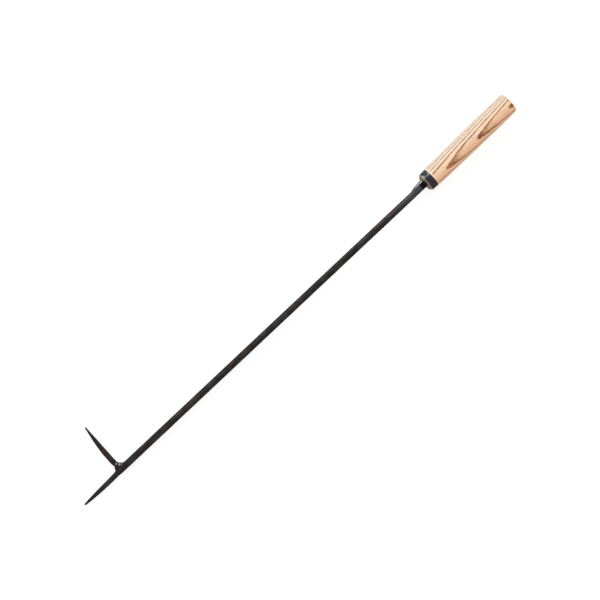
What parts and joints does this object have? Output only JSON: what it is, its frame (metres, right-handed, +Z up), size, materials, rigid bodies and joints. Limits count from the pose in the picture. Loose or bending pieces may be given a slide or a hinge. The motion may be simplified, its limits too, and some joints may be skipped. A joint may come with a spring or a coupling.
{
  "type": "fire poker",
  "caption": "Long round steel poker with a forged point, a side spike welded square to it, and a turned wooden handle held by a steel ferrule.",
  "frame": {"origin": "on the floor, under the middle of the bounding box, with the poker lying on the bar behind its point, on the front edge of the wooden handle and on the side spike", "axes": "+X along the poker from its point to the end of the handle, +Y the way the side spike points, +Z up"},
  "size_m": [0.6684, 0.0752, 0.0268],
  "materials": {
    "forged_steel": "satin",
    "weld_steel": "gloss",
    "ferrule_steel": "satin",
    "brad_steel": "matte",
    "ash_wood": "matte",
    "glue": "gloss"
  },
  "bodies": {
    "root": {"shaft": "forged_steel", "side_spike": "forged_steel", "weld_bead": "weld_steel", "handle": "ash_wood", "ferrule": "ferrule_steel", "ferrule_brad": "brad_steel", "tang_glue": "glue"}
  },
  "joints": []
}
